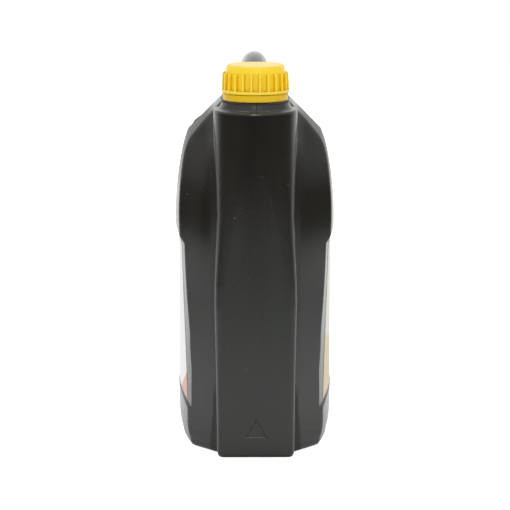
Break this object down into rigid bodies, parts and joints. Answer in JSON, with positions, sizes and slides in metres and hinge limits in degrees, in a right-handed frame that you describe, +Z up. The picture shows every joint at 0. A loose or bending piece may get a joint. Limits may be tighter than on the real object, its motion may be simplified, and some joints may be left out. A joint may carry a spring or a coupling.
{
  "type": "coolant jug",
  "caption": "Upright plastic jug for a pourable liquid, with a spout column and ribbed screw cap at one end, a grip over the shoulder and a label panel on each broad side.",
  "frame": {"origin": "on the floor, in the middle plane of the jug, 88 mm behind the front of the spout column", "axes": "+Z up; -Y is the narrow end with the spout column and the cap; +X is the right-hand broad side seen from that end"},
  "size_m": [0.1278, 0.2003, 0.3067],
  "materials": {
    "bottle_plastic": "matt dark grey polyethylene with a fine moulded texture",
    "label_film_left": "printed film",
    "label_film_right": "printed film",
    "ring_plastic": "satin yellow",
    "wad_foam": "white foam",
    "cap_plastic": "satin yellow"
  },
  "bodies": {
    "jug": {"bottle": "bottle_plastic", "label_left": "label_film_left", "label_right": "label_film_right", "tamper_ring": "ring_plastic"},
    "cap_carrier": {"sealing_wad": "wad_foam"},
    "screw_cap": {"cap": "cap_plastic"}
  },
  "joints": [
    {"name": "cap_rise", "type": "slide", "parent": "jug", "child": "cap_carrier", "axis": [0, 0, 1], "range_m": [0, 0.03]},
    {"name": "cap_turn", "type": "hinge", "parent": "cap_carrier", "child": "screw_cap", "pos_m": [0, -0.0555, 0.3], "axis": [0, 0, 1], "range_deg": [0, 2160]}
  ],
  "couplings": [
    {"joint": "cap_rise", "follows": "cap_turn", "m_per_rad": 0.00079577}
  ]
}
